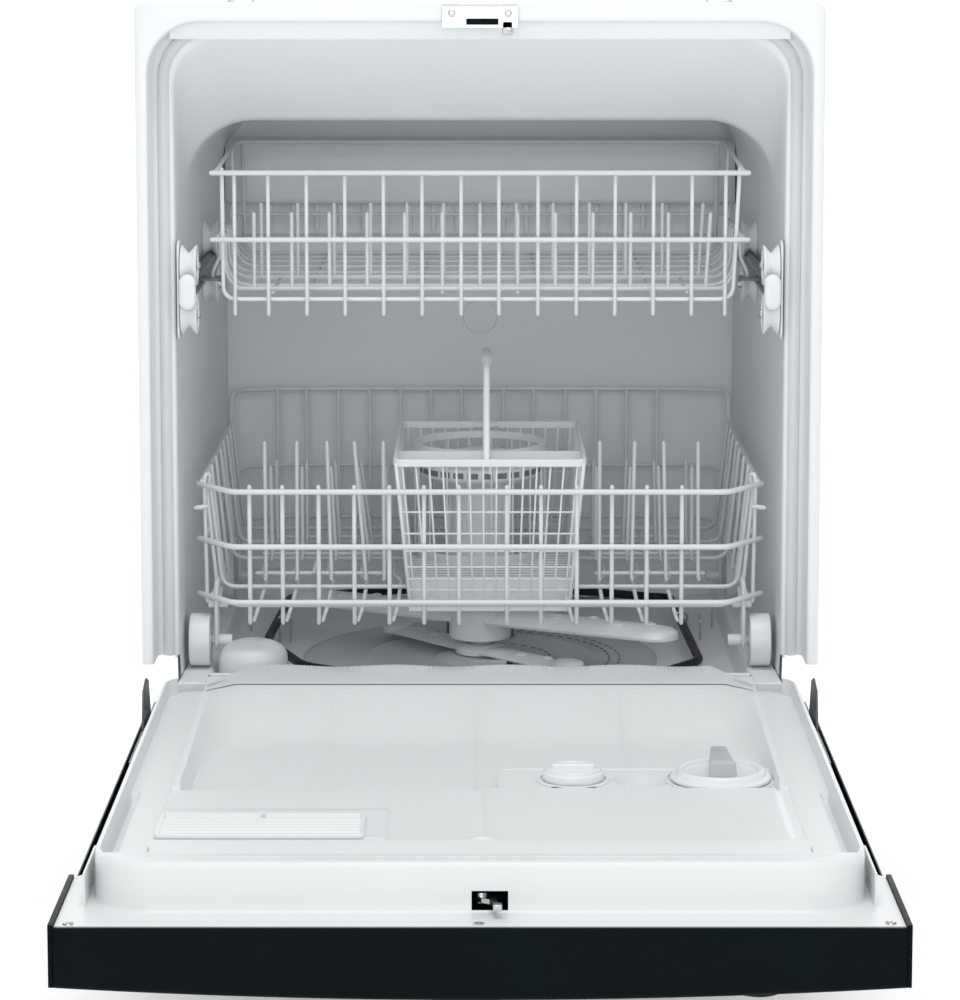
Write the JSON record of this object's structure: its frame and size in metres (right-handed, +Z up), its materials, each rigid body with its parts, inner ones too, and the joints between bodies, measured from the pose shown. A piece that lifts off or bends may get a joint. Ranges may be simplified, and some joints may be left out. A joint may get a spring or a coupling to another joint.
{
  "type": "built in dishwasher",
  "caption": "Front-loading built-in dishwasher with a drop-down door, two sliding wire racks, a cutlery basket and spray arms in a moulded tub.",
  "frame": {"origin": "on the floor, midway across, in the plane of the outer face of the shut door", "axes": "+X to the right seen from the front, +Y from the door into the cabinet, +Z up"},
  "size_m": [0.606, 1.216, 0.8619],
  "materials": {
    "white_moulding": "satin white moulding",
    "basket_plastic": "satin white moulding",
    "black_enamel": "semi-gloss enamel on sheet steel",
    "black_plastic": "semi-gloss black moulding",
    "vinyl_coated_wire": "vinyl dip coat on steel wire",
    "plated_steel": "zinc plated",
    "dark_steel": "dark coated steel",
    "heater_sheath": "oxidised metal sheath",
    "soft_grey_seal": "soft matt seal",
    "grey_moulding": "matt grey moulding"
  },
  "bodies": {
    "cabinet": {"tub": "white_moulding", "door_gasket": "soft_grey_seal", "base_frame": "dark_steel", "access_panel": "black_enamel", "toe_kick": "black_enamel", "heater_element": "heater_sheath", "sump_housing": "grey_moulding", "wash_motor": "dark_steel", "inlet_valve": "grey_moulding", "junction_box": "plated_steel", "strike_plate": "plated_steel", "counter_bracket_left": "plated_steel", "counter_bracket_right": "plated_steel", "hinge_bracket_left": "dark_steel", "hinge_bracket_right": "dark_steel", "door_spring_left": "plated_steel", "door_spring_right": "plated_steel", "roller_bracket_left": "white_moulding", "roller_bracket_right": "white_moulding"},
    "door": {"door_panel": "black_enamel", "door_liner": "white_moulding", "console": "black_plastic", "control_module": "grey_moulding", "dispenser_housing": "white_moulding", "vent_grille": "white_moulding", "splash_seal": "soft_grey_seal", "hinge_arm_left": "dark_steel", "hinge_arm_right": "dark_steel"},
    "upper_rack_body": {"upper_rack": "vinyl_coated_wire", "upper_rack_tines": "vinyl_coated_wire", "upper_rail_left": "dark_steel", "upper_rail_right": "dark_steel"},
    "lower_rack_body": {"lower_rack": "vinyl_coated_wire", "lower_rack_floor": "vinyl_coated_wire", "wash_tower": "white_moulding"},
    "leg_front_left_body": {"leg_front_left": "plated_steel"},
    "leg_front_right_body": {"leg_front_right": "plated_steel"},
    "leg_rear_left_body": {"leg_rear_left": "plated_steel"},
    "leg_rear_right_body": {"leg_rear_right": "plated_steel"},
    "float_body": {"float": "white_moulding"},
    "lower_spray_arm_body": {"lower_spray_arm": "white_moulding"},
    "filter_spray_arm_body": {"filter_spray_arm": "white_moulding"},
    "control_dial_body": {"control_dial": "black_plastic"},
    "button_1_body": {"button_1": "black_plastic"},
    "button_2_body": {"button_2": "black_plastic"},
    "button_3_body": {"button_3": "black_plastic"},
    "latch_handle_body": {"latch_handle": "black_plastic"},
    "latch_hook_body": {"latch_hook": "plated_steel"},
    "detergent_lid_body": {"detergent_lid": "white_moulding"},
    "rinse_aid_cap_body": {"rinse_aid_cap": "white_moulding"},
    "silverware_basket_body": {"silverware_basket": "basket_plastic"},
    "roller_upper_left_body": {"roller_upper_left": "white_moulding"},
    "roller_upper_right_body": {"roller_upper_right": "white_moulding"},
    "roller_lower_left_body": {"roller_lower_left": "white_moulding"},
    "roller_lower_right_body": {"roller_lower_right": "white_moulding"},
    "wheel_front_left_body": {"wheel_front_left": "white_moulding"},
    "wheel_front_right_body": {"wheel_front_right": "white_moulding"},
    "wheel_rear_left_body": {"wheel_rear_left": "white_moulding"},
    "wheel_rear_right_body": {"wheel_rear_right": "white_moulding"}
  },
  "joints": [
    {"name": "leg_front_left_screw", "type": "slide", "parent": "cabinet", "child": "leg_front_left_body", "axis": [0, 0, -1], "range_m": [0, 0.02]},
    {"name": "leg_front_right_screw", "type": "slide", "parent": "cabinet", "child": "leg_front_right_body", "axis": [0, 0, -1], "range_m": [0, 0.02]},
    {"name": "leg_rear_left_screw", "type": "slide", "parent": "cabinet", "child": "leg_rear_left_body", "axis": [0, 0, -1], "range_m": [0, 0.02]},
    {"name": "leg_rear_right_screw", "type": "slide", "parent": "cabinet", "child": "leg_rear_right_body", "axis": [0, 0, -1], "range_m": [0, 0.02]},
    {"name": "float_lift", "type": "slide", "parent": "cabinet", "child": "float_body", "axis": [0, 0, 1], "range_m": [0, 0.008]},
    {"name": "lower_spray_arm_spin", "type": "hinge", "parent": "cabinet", "child": "lower_spray_arm_body", "pos_m": [0, 0.3, 0.265], "axis": [0, 0, 1], "continuous": true},
    {"name": "filter_spray_arm_spin", "type": "hinge", "parent": "cabinet", "child": "filter_spray_arm_body", "pos_m": [0, 0.3, 0.235], "axis": [0, 0, 1], "continuous": true},
    {"name": "door_hinge", "type": "hinge", "parent": "cabinet", "child": "door", "pos_m": [0, 0.03, 0.217], "axis": [-1, 0, 0], "range_deg": [0, 90]},
    {"name": "dial_turn", "type": "hinge", "parent": "door", "child": "control_dial_body", "pos_m": [0.2, -0.545, 0.18192], "axis": [0, 0, 1], "continuous": true},
    {"name": "button_1_press", "type": "slide", "parent": "door", "child": "button_1_body", "axis": [0, 0, 1], "range_m": [0, 0.003], "stiffness_N_per_m": 150},
    {"name": "button_2_press", "type": "slide", "parent": "door", "child": "button_2_body", "axis": [0, 0, 1], "range_m": [0, 0.003], "stiffness_N_per_m": 150},
    {"name": "button_3_press", "type": "slide", "parent": "door", "child": "button_3_body", "axis": [0, 0, 1], "range_m": [0, 0.003], "stiffness_N_per_m": 150},
    {"name": "latch_handle_slide", "type": "slide", "parent": "door", "child": "latch_handle_body", "axis": [1, 0, 0], "range_m": [0, 0.02]},
    {"name": "latch_hook_turn", "type": "hinge", "parent": "door", "child": "latch_hook_body", "pos_m": [0.004, -0.535, 0.2395], "axis": [0, 0, 1], "range_deg": [0, 10]},
    {"name": "detergent_lid_hinge", "type": "hinge", "parent": "door", "child": "detergent_lid_body", "pos_m": [0.19, -0.2505, 0.2584], "axis": [-1, 0, 0], "range_deg": [0, 90]},
    {"name": "rinse_cap_hinge", "type": "hinge", "parent": "door", "child": "rinse_aid_cap_body", "pos_m": [0.0735, -0.2655, 0.2584], "axis": [-1, 0, 0], "range_deg": [0, 90]},
    {"name": "upper_rack_slide", "type": "slide", "parent": "cabinet", "child": "upper_rack_body", "axis": [0, 1, 0], "range_m": [-0.42, 0]},
    {"name": "roller_upper_left_spin", "type": "hinge", "parent": "cabinet", "child": "roller_upper_left_body", "pos_m": [-0.258, 0.095, 0.6268], "axis": [1, 0, 0], "continuous": true},
    {"name": "roller_lower_left_spin", "type": "hinge", "parent": "cabinet", "child": "roller_lower_left_body", "pos_m": [-0.258, 0.095, 0.5832], "axis": [1, 0, 0], "continuous": true},
    {"name": "roller_upper_right_spin", "type": "hinge", "parent": "cabinet", "child": "roller_upper_right_body", "pos_m": [0.258, 0.095, 0.6268], "axis": [1, 0, 0], "continuous": true},
    {"name": "roller_lower_right_spin", "type": "hinge", "parent": "cabinet", "child": "roller_lower_right_body", "pos_m": [0.258, 0.095, 0.5832], "axis": [1, 0, 0], "continuous": true},
    {"name": "lower_rack_slide", "type": "slide", "parent": "cabinet", "child": "lower_rack_body", "axis": [0, 1, 0], "range_m": [-0.45, 0]},
    {"name": "wheel_front_left_spin", "type": "hinge", "parent": "lower_rack_body", "child": "wheel_front_left_body", "pos_m": [-0.255, 0.143, 0.2784], "axis": [1, 0, 0], "continuous": true},
    {"name": "wheel_rear_left_spin", "type": "hinge", "parent": "lower_rack_body", "child": "wheel_rear_left_body", "pos_m": [-0.255, 0.45, 0.2784], "axis": [1, 0, 0], "continuous": true},
    {"name": "wheel_front_right_spin", "type": "hinge", "parent": "lower_rack_body", "child": "wheel_front_right_body", "pos_m": [0.255, 0.143, 0.2784], "axis": [1, 0, 0], "continuous": true},
    {"name": "wheel_rear_right_spin", "type": "hinge", "parent": "lower_rack_body", "child": "wheel_rear_right_body", "pos_m": [0.255, 0.45, 0.2784], "axis": [1, 0, 0], "continuous": true},
    {"name": "silverware_basket_lift", "type": "slide", "parent": "lower_rack_body", "child": "silverware_basket_body", "axis": [0, 0, 1], "range_m": [0, 0.06]}
  ],
  "couplings": [
    {"joint": "latch_hook_turn", "follows": "latch_handle_slide", "rad_per_m": 8.7},
    {"joint": "roller_upper_left_spin", "follows": "upper_rack_slide", "rad_per_m": 90.909},
    {"joint": "roller_lower_left_spin", "follows": "upper_rack_slide", "rad_per_m": -90.909},
    {"joint": "wheel_front_left_spin", "follows": "lower_rack_slide", "rad_per_m": -41.494},
    {"joint": "wheel_rear_left_spin", "follows": "lower_rack_slide", "rad_per_m": -41.494},
    {"joint": "roller_upper_right_spin", "follows": "upper_rack_slide", "rad_per_m": 90.909},
    {"joint": "roller_lower_right_spin", "follows": "upper_rack_slide", "rad_per_m": -90.909},
    {"joint": "wheel_front_right_spin", "follows": "lower_rack_slide", "rad_per_m": -41.494},
    {"joint": "wheel_rear_right_spin", "follows": "lower_rack_slide", "rad_per_m": -41.494}
  ]
}
